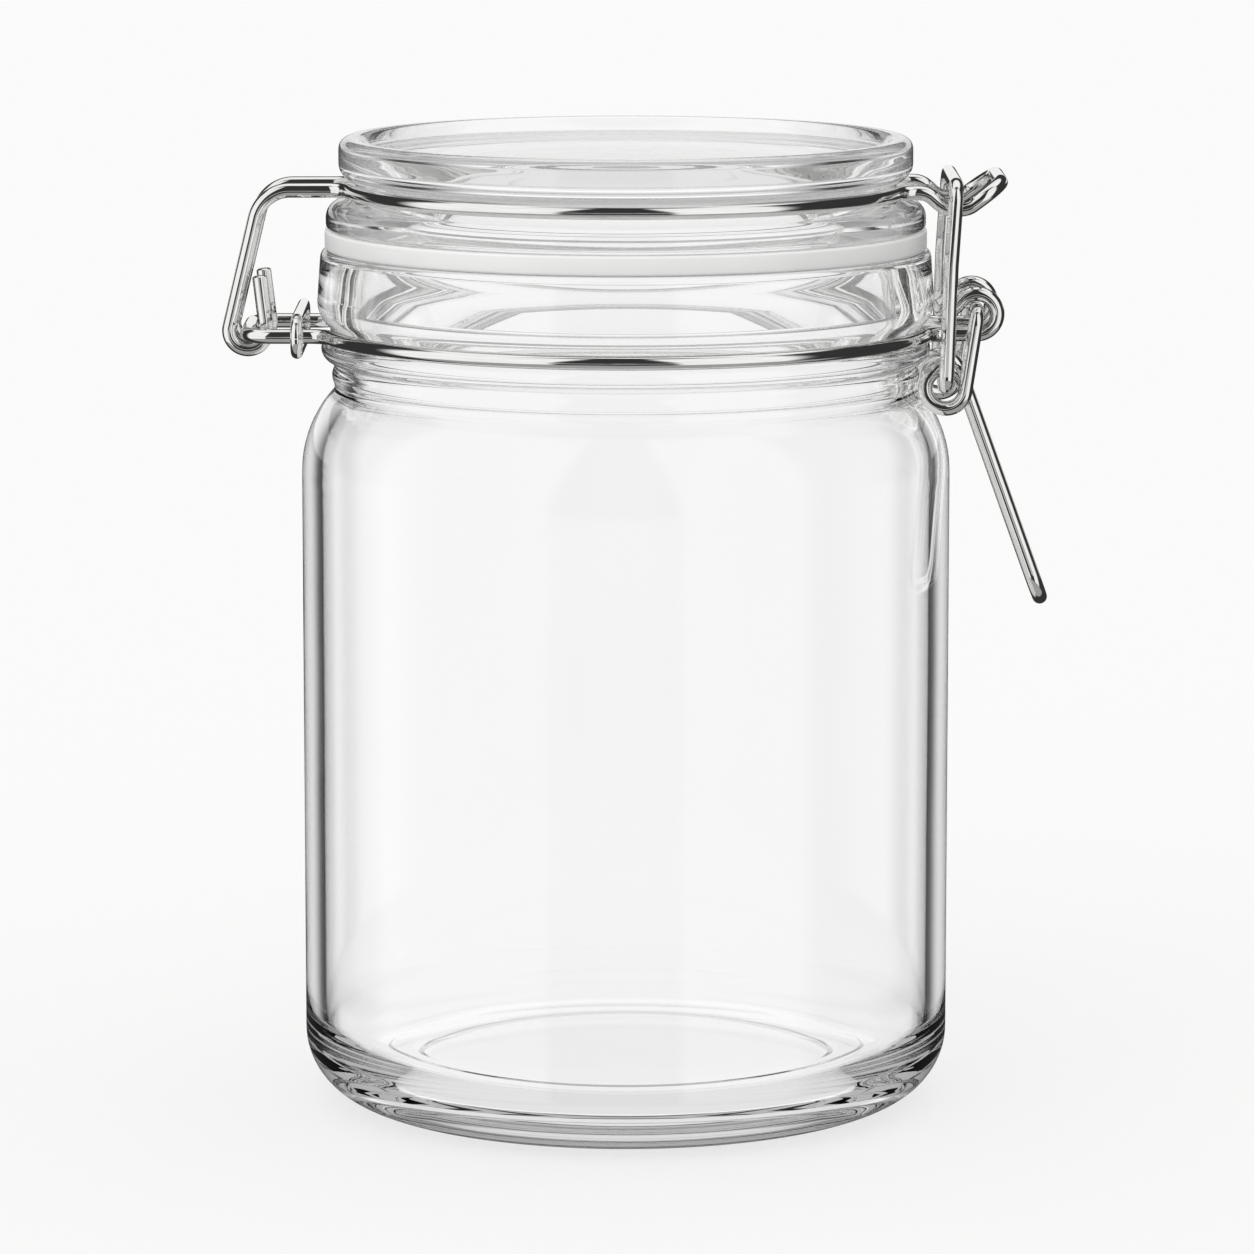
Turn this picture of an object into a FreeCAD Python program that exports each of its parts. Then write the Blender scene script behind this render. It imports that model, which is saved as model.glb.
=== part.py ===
import FreeCAD, Part
import Sketcher
import math
import os

from FreeCAD import Vector

# A clip-top glass storage jar: pressed glass jar and lid, a soft seal, and a lid hinge and
# over-centre latch bent from round steel wire. The jar's axis is Z, the table is z = 0,
# the latch is at +X and the hinge at -X. Lengths are millimetres and angles are degrees.

SIZES = {
    # Jar body
    "body_radius": 55.0,
    "wall_thickness": 3.4,
    "heel_radius": 12.0,
    "inner_heel_radius": 9.4,
    "floor_height": 7.4,
    "floor_pad_rise": 0.5,
    "floor_pad_slope": 1.2,
    "foot_width": 8.0,
    "punt_depth": 1.5,
    "punt_slope": 4.0,
    "shoulder_radius": 20.0,
    "shoulder_setback": 5.6,
    # Neck of the jar, with its drops measured from the rim
    "rim_height": 145.8,
    "neck_length": 23.9,
    "neck_wall": 3.4,
    "neck_line_drop": 21.4,
    "neck_line_height": 2.6,
    "neck_line_bulge": 0.4,
    "collar_drop": 18.9,
    "collar_bulge": 1.6,
    "neck_wire_drop": 13.8,
    "neck_groove_rise": 0.6,
    "band_drop": 8.6,
    "band_projection": 2.8,
    "band_bulge": 0.5,
    "rim_setback": 0.5,
    "rim_round": 1.5,
    "mouth_round": 1.2,
    # Seal ring
    "seal_thickness": 3.5,
    "seal_setback": 1.3,
    "seal_fit": 0.3,
    "seal_round": 0.5,
    # Lid, with its rises measured from the seal's top face
    "lid_height": 15.2,
    "flange_setback": 1.5,
    "flange_thickness": 4.5,
    "flange_round": 2.6,
    "flange_chamfer": 0.4,
    "lid_rim_setback": 2.2,
    "lid_rim_height": 4.6,
    "lid_rim_round": 1.8,
    "lid_rim_bulge": 0.5,
    "dish_depth": 2.2,
    "dish_rim_width": 4.9,
    "dish_slope": 1.6,
    "plug_clearance": 2.6,
    "plug_depth": 5.0,
    "plug_draft": 0.5,
    "plug_round": 0.8,
    "plug_width": 5.0,
    "crown_thickness": 5.2,
    "cavity_draft": 2.0,
    "cavity_round": 4.5,
    "lid_wire_rise": 6.7,
    "lid_groove_depth": 2.9,
    # Wire, and how it lies in the glass
    "wire_diameter": 2.5,
    "wire_clearance": 0.3,
    "groove_lip_angle": 50.0,
    "ring_corner_radius": 4.0,
    # Hinge at the back
    "hinge_reach": 12.15,
    "bight_half_width": 12.4,
    "bight_corner_radius": 4.5,
    "hook_half_width": 6.3,
    "hook_radius": 3.1,
    "hook_leg_lean": 13.5,
    "hook_stub_lean": 6.8,
    "hook_stub_length": 9.0,
    "hook_corner_radius": 6.0,
    "tie_diameter": 2.0,
    "tie_reach": 3.6,
    "tie_half_height": 2.8,
    "tie_side_play": 0.2,
    # Latch at the front
    "eye_reach": 7.45,
    "eye_half_width": 9.0,
    "eye_radius": 3.4,
    "eye_end_angle": 135.0,
    "eye_end_length": 4.2,
    "lever_side_play": 0.4,
    "pin_bend_radius": 2.2,
    "pin_overhang": 1.1,
    "coil_radius": 3.3,
    "coil_reach": 2.15,
    "coil_drop": 9.0,
    "handle_length": 39.9,
    "handle_lean": 24.6,
    "handle_corner_radius": 5.0,
    "link_side_play": 0.5,
    "link_corner_radius": 2.6,
    "link_knee_rise": 20.6,
    "link_knee_lean": 1.8,
    "link_knee_radius": 12.0,
    "latch_gap": 1.6,
    "tongue_side_play": 0.9,
    "tongue_reach": 8.05,
    "tongue_dip_reach": 3.2,
    "tongue_dip": 2.7,
    "valley_inner_length": 1.7,
    "valley_outer_length": 2.0,
    "tongue_bend_radius": 3.5,
    "tongue_tip_reach": 7.7,
    "tongue_tip_rise": 4.2,
    "tongue_corner_radius": 4.5,
}

doc = FreeCAD.newDocument("ClipTopJar")
sheet = doc.addObject("Spreadsheet::Sheet", "Sizes")
for row, (name, number) in enumerate(SIZES.items(), start=1):
    sheet.set(f"A{row}", name)
    sheet.set(f"B{row}", str(number))
    sheet.setAlias(f"B{row}", name)
doc.recompute()


class Formula:
    """A number worked out from cells of the size sheet, kept as the text of an expression."""

    def __init__(self, text):
        self.text = text

    def __add__(self, other):
        return Formula(f"({self.text} + {text_of(other)})")

    def __sub__(self, other):
        return Formula(f"({self.text} - {text_of(other)})")

    def __mul__(self, other):
        return Formula(f"({self.text} * {text_of(other)})")

    def __truediv__(self, other):
        return Formula(f"({self.text} / {text_of(other)})")

    def __float__(self):
        return float(sheet.evalExpression(self.text))


def text_of(item):
    return item.text if isinstance(item, Formula) else str(item)


def root(formula):
    return Formula(f"sqrt({formula.text})")


def cosine(degrees):
    return Formula(f"cos({degrees.text} * 1 deg)")


def sine(degrees):
    return Formula(f"sin({degrees.text} * 1 deg)")


def size(name):
    return Formula(f"Sizes.{name}")


def bulged(start, end, bulge):
    """Radius of the arc from start to end whose middle stands out from the chord by bulge."""
    across = end[0] - start[0]
    upward = end[1] - start[1]
    return (across * across + upward * upward) / (bulge * 8) + bulge / 2


# Values that more than one piece is fitted to

wire_radius = size("wire_diameter") / 2
groove_radius = wire_radius + size("wire_clearance")
neck_radius = size("body_radius") - size("shoulder_setback")
mouth_radius = neck_radius - size("neck_wall")
band_radius = neck_radius + size("band_projection")
rim_height = size("rim_height")
neck_wire_height = rim_height - size("neck_wire_drop")
neck_ring_radius = neck_radius + size("neck_groove_rise") + groove_radius

lid_base = rim_height + size("seal_thickness")
lid_top = lid_base + size("lid_height")
plug_radius = mouth_radius - size("plug_clearance")
flange_radius = band_radius - size("flange_setback")
lid_rim_radius = flange_radius - size("lid_rim_setback")
lid_wire_height = lid_base + size("lid_wire_rise")
lid_ring_radius = lid_rim_radius - size("lid_groove_depth") + groove_radius


# Turned glass and seal: each is a closed half section, revolved about the jar's axis

def plane_of(body, role):
    for feature in body.Origin.OriginFeatures:
        if feature.Role == role:
            return feature
    raise ValueError(f"{body.Label} has no {role}")


def arc_between(start, end, radius, side):
    """Arc of a sketch from start to end, with its centre on the left or right of the way."""
    chord = end - start
    middle = (start + end) * 0.5
    leftward = Vector(-chord.y, chord.x, 0).normalize()
    offset = math.sqrt(max(radius ** 2 - chord.Length ** 2 / 4, 0.0))
    centre = middle + leftward * (offset if side == "left" else -offset)
    first, last = (start, end) if side == "left" else (end, start)
    first_angle = math.atan2(first.y - centre.y, first.x - centre.x)
    last_angle = math.atan2(last.y - centre.y, last.x - centre.x)
    circle = Part.Circle(centre, Vector(0, 0, 1), radius)
    return Part.ArcOfCircle(circle, first_angle, last_angle)


def revolved(label, corners):
    """Body turned about Z. A corner is (radius, height), or (radius, height, arc radius, side)
    where the edge to the next corner is an arc. A None is a corner on the axis or the table."""
    body = doc.addObject("PartDesign::Body", label)
    body.Label = label
    sketch = body.newObject("Sketcher::SketchObject", f"{label}_section")
    sketch.AttachmentSupport = [(plane_of(body, "XZ_Plane"), "")]
    sketch.MapMode = "FlatFace"
    spots = []
    for corner in corners:
        radius, height = [0.0 if part is None else float(part) for part in corner[:2]]
        spots.append(Vector(radius, height, 0))
    starts = []
    ends = []
    for index, corner in enumerate(corners):
        start = spots[index]
        end = spots[(index + 1) % len(spots)]
        if len(corner) == 2:
            edge = sketch.addGeometry(Part.LineSegment(start, end))
        else:
            edge = sketch.addGeometry(arc_between(start, end, float(corner[2]), corner[3]))
        forward = len(corner) == 2 or corner[3] == "left"
        starts.append((edge, 1 if forward else 2))
        ends.append((edge, 2 if forward else 1))
    for index, corner in enumerate(corners):
        sketch.addConstraint(Sketcher.Constraint("Coincident", *ends[index - 1], *starts[index]))
        for kind, part, axis in (("DistanceX", corner[0], -2), ("DistanceY", corner[1], -1)):
            if part is None:
                sketch.addConstraint(Sketcher.Constraint("PointOnObject", *starts[index], axis))
            else:
                made = sketch.addConstraint(Sketcher.Constraint(kind, *starts[index], float(part)))
                sketch.setExpression(f"Constraints[{made}]", part.text)
        if len(corner) == 4:
            made = sketch.addConstraint(Sketcher.Constraint("Radius", starts[index][0], float(corner[2])))
            sketch.setExpression(f"Constraints[{made}]", corner[2].text)
    turned = body.newObject("PartDesign::Revolution", f"{label}_turned")
    turned.Profile = sketch
    turned.ReferenceAxis = (sketch, ["V_Axis"])
    turned.Angle = 360
    sketch.Visibility = False
    return body


def wire_groove(ring_radius, height, upward):
    """The two lips of the groove that a wire ring lies in, with the arc between them."""
    lip_radius = ring_radius - groove_radius * cosine(size("groove_lip_angle"))
    lip_rise = groove_radius * sine(size("groove_lip_angle"))
    lower = (lip_radius, height - lip_rise)
    upper = (lip_radius, height + lip_rise)
    first, second = (lower, upper) if upward else (upper, lower)
    return first + (groove_radius, "right"), second


# Glass jar: thick heel on a standing ring, raised floor pad, straight wall, grooved neck and flat rim

neck_bottom = rim_height - size("neck_length")
shoulder_start = neck_bottom - root(
    size("shoulder_radius") * size("shoulder_radius")
    - (size("shoulder_radius") - size("shoulder_setback"))
    * (size("shoulder_radius") - size("shoulder_setback")))
inner_radius = size("body_radius") - size("wall_thickness")
inner_shoulder = size("shoulder_radius") - size("wall_thickness")
inner_setback = inner_radius - mouth_radius
inner_floor = size("floor_height") - size("floor_pad_rise")
inner_heel_end = inner_radius - size("inner_heel_radius")
inner_neck_bottom = shoulder_start + root(
    inner_shoulder * inner_shoulder
    - (inner_shoulder - inner_setback) * (inner_shoulder - inner_setback))
foot_radius = size("body_radius") - size("heel_radius")
foot_inner_radius = foot_radius - size("foot_width")
neck_line_height = rim_height - size("neck_line_drop")
neck_line_start = (neck_radius, neck_line_height - size("neck_line_height") / 2)
neck_line_end = (neck_radius, neck_line_height + size("neck_line_height") / 2)
collar_start = (neck_radius, rim_height - size("collar_drop"))
neck_lower_lip, neck_upper_lip = wire_groove(neck_ring_radius, neck_wire_height, upward=True)
band_crest = (band_radius, rim_height - size("band_drop"))
rim_outer_radius = band_radius - size("rim_setback")

revolved("jar", [
    (None, size("punt_depth")),
    (foot_inner_radius - size("punt_slope"), size("punt_depth")),
    (foot_inner_radius, None),
    (foot_radius, None, size("heel_radius"), "left"),
    (size("body_radius"), size("heel_radius")),
    (size("body_radius"), shoulder_start, size("shoulder_radius"), "left"),
    (neck_radius, neck_bottom),
    neck_line_start + (bulged(neck_line_start, neck_line_end, size("neck_line_bulge")), "left"),
    neck_line_end,
    collar_start + (bulged(collar_start, neck_lower_lip, size("collar_bulge")), "left"),
    neck_lower_lip,
    neck_upper_lip + (bulged(neck_upper_lip, band_crest, size("band_bulge")), "left"),
    band_crest,
    (rim_outer_radius, rim_height - size("rim_round"), size("rim_round"), "left"),
    (rim_outer_radius - size("rim_round"), rim_height),
    (mouth_radius + size("mouth_round"), rim_height, size("mouth_round"), "left"),
    (mouth_radius, rim_height - size("mouth_round")),
    (mouth_radius, inner_neck_bottom, inner_shoulder, "right"),
    (inner_radius, shoulder_start),
    (inner_radius, inner_floor + size("inner_heel_radius"), size("inner_heel_radius"), "right"),
    (inner_heel_end, inner_floor),
    (inner_heel_end - size("floor_pad_slope"), size("floor_height")),
    (None, size("floor_height")),
])


# Seal: flat soft ring round the lid's plug, between the lid's flange and the jar's rim

seal_radius = band_radius - size("seal_setback")
seal_inner_radius = plug_radius + size("seal_fit")

revolved("seal_ring", [
    (seal_inner_radius, rim_height),
    (seal_radius - size("seal_round"), rim_height, size("seal_round"), "left"),
    (seal_radius, rim_height + size("seal_round")),
    (seal_radius, lid_base - size("seal_round"), size("seal_round"), "left"),
    (seal_radius - size("seal_round"), lid_base),
    (seal_inner_radius, lid_base),
])


# Glass lid: dished top inside a round rim, wire groove, flange on the seal, hollow plug in the mouth

dish_floor = lid_top - size("dish_depth")
dish_radius = lid_rim_radius - size("dish_rim_width")
lid_rim_bottom = (lid_rim_radius, lid_top - size("lid_rim_height"))
lid_upper_lip, lid_lower_lip = wire_groove(lid_ring_radius, lid_wire_height, upward=False)
flange_top = lid_base + size("flange_thickness")
plug_bottom = lid_base - size("plug_depth")
plug_foot_radius = plug_radius - size("plug_draft")
cavity_radius = plug_foot_radius - size("plug_width")
crown_bottom = dish_floor - size("crown_thickness")
cavity_top_radius = cavity_radius - size("cavity_draft")

revolved("lid", [
    (None, crown_bottom),
    (cavity_top_radius - size("cavity_round"), crown_bottom, size("cavity_round"), "right"),
    (cavity_top_radius, crown_bottom - size("cavity_round")),
    (cavity_radius, plug_bottom + size("plug_round")),
    (cavity_radius + size("plug_round"), plug_bottom),
    (plug_foot_radius - size("plug_round"), plug_bottom, size("plug_round"), "left"),
    (plug_foot_radius, plug_bottom + size("plug_round")),
    (plug_radius, lid_base),
    (flange_radius - size("flange_chamfer"), lid_base),
    (flange_radius, lid_base + size("flange_chamfer")),
    (flange_radius, flange_top - size("flange_round"), size("flange_round"), "left"),
    (flange_radius - size("flange_round"), flange_top),
    lid_lower_lip + (groove_radius, "right"),
    lid_upper_lip[:2] + (bulged(lid_upper_lip, lid_rim_bottom, size("lid_rim_bulge")), "left"),
    lid_rim_bottom,
    (lid_rim_radius, lid_top - size("lid_rim_round"), size("lid_rim_round"), "left"),
    (lid_rim_radius - size("lid_rim_round"), lid_top),
    (dish_radius + size("dish_slope"), lid_top),
    (dish_radius, dish_floor),
    (None, dish_floor),
])


# Bent wire: a round section swept along straight runs with a tangent arc at each corner

def unit(vector):
    return Vector(vector).normalize()


def bent_path(corners):
    """Wire through corners, each a point and the bend radius there. The ends have radius 0."""
    edges = []
    here = corners[0][0]
    for (before, _), (corner, radius), (after, _) in zip(corners, corners[1:], corners[2:]):
        inward = unit(corner - before)
        outward = unit(after - corner)
        half_turn = inward.getAngle(outward) / 2
        reach = radius * math.tan(half_turn)
        arc_start = corner - inward * reach
        arc_end = corner + outward * reach
        arc_middle = corner + unit(outward - inward) * (radius / math.cos(half_turn) - radius)
        if (arc_start - here).Length > Part.Precision.confusion():
            edges.append(Part.LineSegment(here, arc_start).toShape())
        edges.append(Part.Arc(arc_start, arc_middle, arc_end).toShape())
        here = arc_end
    edges.append(Part.LineSegment(here, corners[-1][0]).toShape())
    return Part.Wire(edges)


def turn(centre, radius, first, last, across, upward, drift=Vector()):
    """Corners of a wire that turns about centre from one angle to another, in equal bends."""
    count = math.ceil(abs(last - first) / LARGEST_BEND_ANGLE)
    step = math.radians(last - first) / count
    corner_radius = radius / math.cos(step / 2)
    corners = []
    for index in range(count):
        angle = math.radians(first) + step * (index + 0.5)
        outward = across * math.cos(angle) + upward * math.sin(angle)
        passed = (index + 0.5) / count
        corners.append((centre + outward * corner_radius + drift * passed, radius))
    return corners


def mirrored(corners):
    """A symmetric wire from the corners of its near half: the far half follows in reverse."""
    far_half = [(Vector(spot.x, -spot.y, spot.z), radius) for spot, radius in reversed(corners)]
    return corners + far_half


def wire(label, corners, diameter):
    path = doc.addObject("Part::Feature", f"{label}_path")
    path.Shape = bent_path(corners)
    section = doc.addObject("Part::Circle", f"{label}_section")
    section.setExpression("Radius", (diameter / 2).text)
    along = corners[1][0] - corners[0][0]
    section.Placement = FreeCAD.Placement(corners[0][0], FreeCAD.Rotation(Vector(0, 0, 1), along))
    swept = doc.addObject("Part::Sweep", label)
    swept.Label = label
    swept.Sections = [section]
    swept.Spine = (path, [f"Edge{index + 1}" for index in range(len(path.Shape.Edges))])
    swept.Solid = True
    swept.Frenet = False
    return swept


ALONG_X = Vector(1, 0, 0)
ALONG_Y = Vector(0, 1, 0)
ALONG_Z = Vector(0, 0, 1)
LARGEST_BEND_ANGLE = 45.0
wire_size = float(size("wire_diameter"))
clearance = float(size("wire_clearance"))
ring_corner = float(size("ring_corner_radius"))


def half_ring(ring_radius, height, right_half_width, left_half_width):
    """Near half of a ring round the glass, from the run that joins it at +X to the one at -X."""
    def joining(half_width):
        reach = math.sqrt((ring_radius + ring_corner) ** 2 - (half_width + ring_corner) ** 2)
        return math.degrees(math.atan2(half_width + ring_corner, reach))

    def run_corner(half_width, side):
        angle = math.radians(joining(half_width))
        on_run = (ring_radius - half_width * math.sin(angle)) / math.cos(angle)
        return Vector(side * on_run, -half_width, height), ring_corner

    centre = Vector(0, 0, height)
    first = -joining(right_half_width)
    last = joining(left_half_width) - 180
    bends = turn(centre, ring_radius, first, last, ALONG_X, ALONG_Y)
    return [run_corner(right_half_width, 1)] + bends + [run_corner(left_half_width, -1)]


# Neck wire: two eyes for the latch, a ring in the neck's groove and a bight for the hinge

ring_height = float(neck_wire_height)
neck_ring = float(neck_ring_radius)
eye_half = float(size("eye_half_width"))
eye_radius = float(size("eye_radius"))
eye_end_angle = float(size("eye_end_angle"))
eye_centre = Vector(neck_ring + float(size("eye_reach")), -eye_half, ring_height + eye_radius)
eye_outward = Vector(math.cos(math.radians(eye_end_angle)), 0, math.sin(math.radians(eye_end_angle)))
eye_end_run = Vector(-eye_outward.z, 0, eye_outward.x) * float(size("eye_end_length"))
eye_end = eye_centre + eye_outward * eye_radius + eye_end_run
bight_half = float(size("bight_half_width"))
hinge_axis = Vector(-neck_ring - float(size("hinge_reach")), 0, ring_height)

wire("neck_wire", mirrored(
    [(eye_end, 0.0)]
    + turn(eye_centre, eye_radius, eye_end_angle, -90, ALONG_X, ALONG_Z)
    + half_ring(neck_ring, ring_height, eye_half, bight_half)
    + [(hinge_axis - ALONG_Y * bight_half, float(size("bight_corner_radius")))]),
    size("wire_diameter"))


# Tie ring: closed oval ring that holds the two sides of the bight together

tie_size = float(size("tie_diameter"))
tie_half_height = float(size("tie_half_height"))
tie_half_width = bight_half + wire_size / 2 + float(size("tie_side_play")) + tie_size / 2
tie_centre = Vector(-neck_ring - float(size("tie_reach")), 0, ring_height)
tie_top = tie_centre + ALONG_Z * tie_half_height
tie_corners = [(tie_top, 0.0)]
for side, rise in ((1, 1), (1, -1), (-1, -1), (-1, 1)):
    spot = tie_centre + Vector(0, side * tie_half_width, rise * tie_half_height)
    tie_corners.append((spot, tie_half_height))
tie_corners.append((tie_top, 0.0))

wire("hinge_tie_ring", tie_corners, size("tie_diameter"))


# Latch lever: pins in the neck wire's eyes, legs, a coil each side for the link, and the pull handle

lever_half = eye_half + wire_size + float(size("lever_side_play"))
pin_bend = float(size("pin_bend_radius"))
pin_end_half = eye_half - wire_size / 2 - float(size("pin_overhang"))
lever_pivot = eye_centre + ALONG_Z * (eye_radius - wire_size - clearance)
coil_radius = float(size("coil_radius"))
coil_x = neck_ring + float(size("coil_reach"))
coil_centre = Vector(coil_x, -lever_half, ring_height - float(size("coil_drop")))
handle_lean = math.radians(float(size("handle_lean")))
handle_direction = Vector(math.sin(handle_lean), 0, -math.cos(handle_lean))
handle_tip = coil_centre + handle_direction * float(size("handle_length"))


def tangent_angle(centre, radius, outside, side):
    """Angle, about centre in XZ, at which a line from a point outside touches the circle."""
    to_point = outside - centre
    distance = math.hypot(to_point.x, to_point.z)
    return math.degrees(math.atan2(to_point.z, to_point.x) + side * math.acos(radius / distance))


leg_angle = tangent_angle(coil_centre, coil_radius, lever_pivot, -1)
handle_angle = tangent_angle(coil_centre, coil_radius, handle_tip, 1)
coil_drift = ALONG_Y * (lever_half - eye_half)

wire("latch_lever", mirrored(
    [(Vector(lever_pivot.x, -pin_end_half, lever_pivot.z), 0.0),
     (Vector(lever_pivot.x, -lever_half, lever_pivot.z), pin_bend)]
    + turn(coil_centre, coil_radius, leg_angle, handle_angle - 360, ALONG_X, ALONG_Z, coil_drift)
    + [(Vector(handle_tip.x, -eye_half, handle_tip.z), float(size("handle_corner_radius")))]),
    size("wire_diameter"))


# Lid wire: hooks round the neck wire's bight, a ring in the lid's groove and the tongue for the latch

lid_wire_level = float(lid_wire_height)
lid_ring = float(lid_ring_radius)
link_half = lever_half + wire_size + float(size("link_side_play"))
tongue_half = link_half - wire_size - float(size("tongue_side_play"))
link_top_x = lid_ring + float(size("tongue_reach"))
valley_height = lid_wire_level - float(size("tongue_dip"))
tongue_bend = float(size("tongue_bend_radius"))
tip_x = link_top_x + float(size("tongue_tip_reach"))
tip_height = valley_height + float(size("tongue_tip_rise"))
valley_end_x = link_top_x + float(size("valley_outer_length"))
valley_start_x = link_top_x - float(size("valley_inner_length"))
dip_x = lid_ring + float(size("tongue_dip_reach"))
tongue = [
    (Vector(tip_x, -tongue_half, tip_height), float(size("tongue_corner_radius"))),
    (Vector(valley_end_x, -tongue_half, valley_height), tongue_bend),
    (Vector(valley_start_x, -tongue_half, valley_height), tongue_bend),
    (Vector(dip_x, -tongue_half, lid_wire_level), tongue_bend),
]

hook_half = float(size("hook_half_width"))
hook_radius = float(size("hook_radius"))
leg_lean = math.radians(float(size("hook_leg_lean")))
stub_lean = math.radians(float(size("hook_stub_lean")))
hook_centre = Vector(hinge_axis.x, -hook_half, hinge_axis.z + hook_radius - wire_size - clearance)
leg_direction = Vector(math.sin(leg_lean), 0, math.cos(leg_lean))
leg_start = hook_centre + Vector(-math.cos(leg_lean), 0, math.sin(leg_lean)) * hook_radius
hook_shoulder = leg_start + leg_direction * ((lid_wire_level - leg_start.z) / leg_direction.z)
stub_end = (hook_centre
            + Vector(math.cos(stub_lean), 0, math.sin(stub_lean)) * hook_radius
            + Vector(-math.sin(stub_lean), 0, math.cos(stub_lean)) * float(size("hook_stub_length")))
hook_first = 180 - math.degrees(leg_lean)
hook_last = 360 + math.degrees(stub_lean)
hook = turn(hook_centre, hook_radius, hook_first, hook_last, ALONG_X, ALONG_Z)

near_half = (tongue
             + half_ring(lid_ring, lid_wire_level, tongue_half, hook_half)
             + [(hook_shoulder, float(size("hook_corner_radius")))]
             + hook
             + [(stub_end, 0.0)])
wire("lid_wire", mirrored(near_half[::-1]), size("wire_diameter"))


# Latch link: pins in the lever's coils, two slightly bent legs, and the bar over the lid wire's tongue

link_pivot = coil_centre + ALONG_Z * (coil_radius - wire_size - clearance)
link_top_z = valley_height + wire_size + float(size("latch_gap"))
knee_rise = float(size("link_knee_rise"))
knee_x = link_pivot.x + knee_rise * math.tan(math.radians(float(size("link_knee_lean"))))

wire("latch_link", mirrored([
    (Vector(link_pivot.x, -pin_end_half, link_pivot.z), 0.0),
    (Vector(link_pivot.x, -link_half, link_pivot.z), pin_bend),
    (Vector(knee_x, -link_half, link_pivot.z + knee_rise), float(size("link_knee_radius"))),
    (Vector(link_top_x, -link_half, link_top_z), float(size("link_corner_radius"))),
]), size("wire_diameter"))


# Every piece is checked before its solid is written

NODES = ["jar", "lid", "seal_ring", "lid_wire", "neck_wire", "hinge_tie_ring", "latch_lever", "latch_link"]

doc.recompute()
for item in doc.Objects:
    if "Invalid" in item.State or "Error" in item.State:
        raise RuntimeError(f"{item.Label} failed to build: {item.State}")
os.makedirs("parts", exist_ok=True)
for node in NODES:
    shape = doc.getObjectsByLabel(node)[0].Shape
    if shape.isNull() or not shape.isValid() or len(shape.Solids) != 1:
        raise RuntimeError(f"{node} is not one valid solid")
    shape.exportStep(f"parts/{node}.step")
    box = shape.BoundBox
    print(f"{node}: {shape.Volume:.1f} mm3, {box.XLength:.2f} x {box.YLength:.2f} x {box.ZLength:.2f} mm")
print(f"hinge axis x {hinge_axis.x:.3f} z {hinge_axis.z:.3f}")
print(f"lever pivot x {lever_pivot.x:.3f} z {lever_pivot.z:.3f}")
print(f"link pivot x {link_pivot.x:.3f} z {link_pivot.z:.3f}")
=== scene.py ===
import math

import bpy
import numpy as np
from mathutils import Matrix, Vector


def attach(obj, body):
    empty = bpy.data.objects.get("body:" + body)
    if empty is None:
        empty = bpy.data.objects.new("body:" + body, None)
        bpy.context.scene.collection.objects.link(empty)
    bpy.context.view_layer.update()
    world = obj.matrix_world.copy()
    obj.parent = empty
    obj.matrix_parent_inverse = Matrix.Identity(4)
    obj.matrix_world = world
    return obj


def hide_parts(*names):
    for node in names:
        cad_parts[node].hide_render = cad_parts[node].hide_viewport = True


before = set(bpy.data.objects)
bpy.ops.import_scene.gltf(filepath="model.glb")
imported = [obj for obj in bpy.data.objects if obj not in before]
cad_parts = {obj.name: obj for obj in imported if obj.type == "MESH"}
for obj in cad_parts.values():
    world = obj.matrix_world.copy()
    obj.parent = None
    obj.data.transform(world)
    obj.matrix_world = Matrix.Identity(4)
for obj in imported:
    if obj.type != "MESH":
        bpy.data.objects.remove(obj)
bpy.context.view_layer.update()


# Jar
# Clear glass, about a litre, blown and pressed in a split mould. Fire-polishing leaves its edges a little
# round. The heel is thick and stands on a ring round a shallow hollow, and the floor has a raised pad.

MM = 0.001
ARC_STEP = math.radians(3)
ROUND_STEPS = 160


def swing(start, end, radius, side):
    """Points on the arc from start to end, without end, whose centre is on the left or right of the way."""
    start, end = np.array(start), np.array(end)
    chord = end - start
    leftward = np.array([-chord[1], chord[0]]) / np.linalg.norm(chord)
    offset = math.sqrt(max(radius ** 2 - chord @ chord / 4, 0.0))
    centre = (start + end) / 2 + leftward * (offset if side == "left" else -offset)
    first = math.atan2(*(start - centre)[::-1])
    sweep = math.atan2(*(end - centre)[::-1]) - first
    sweep = sweep % math.tau if side == "left" else -((-sweep) % math.tau)
    count = max(int(abs(sweep) / ARC_STEP), 2)
    angles = first + sweep * np.arange(count) / count
    return [tuple(centre + radius * np.array([math.cos(a), math.sin(a)])) for a in angles]


def bowed(start, end, bulge):
    """Points from start to end on an arc whose middle stands out to the right by bulge."""
    chord = math.dist(start, end)
    return swing(start, end, chord ** 2 / (8 * bulge) + bulge / 2, "left")


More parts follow.
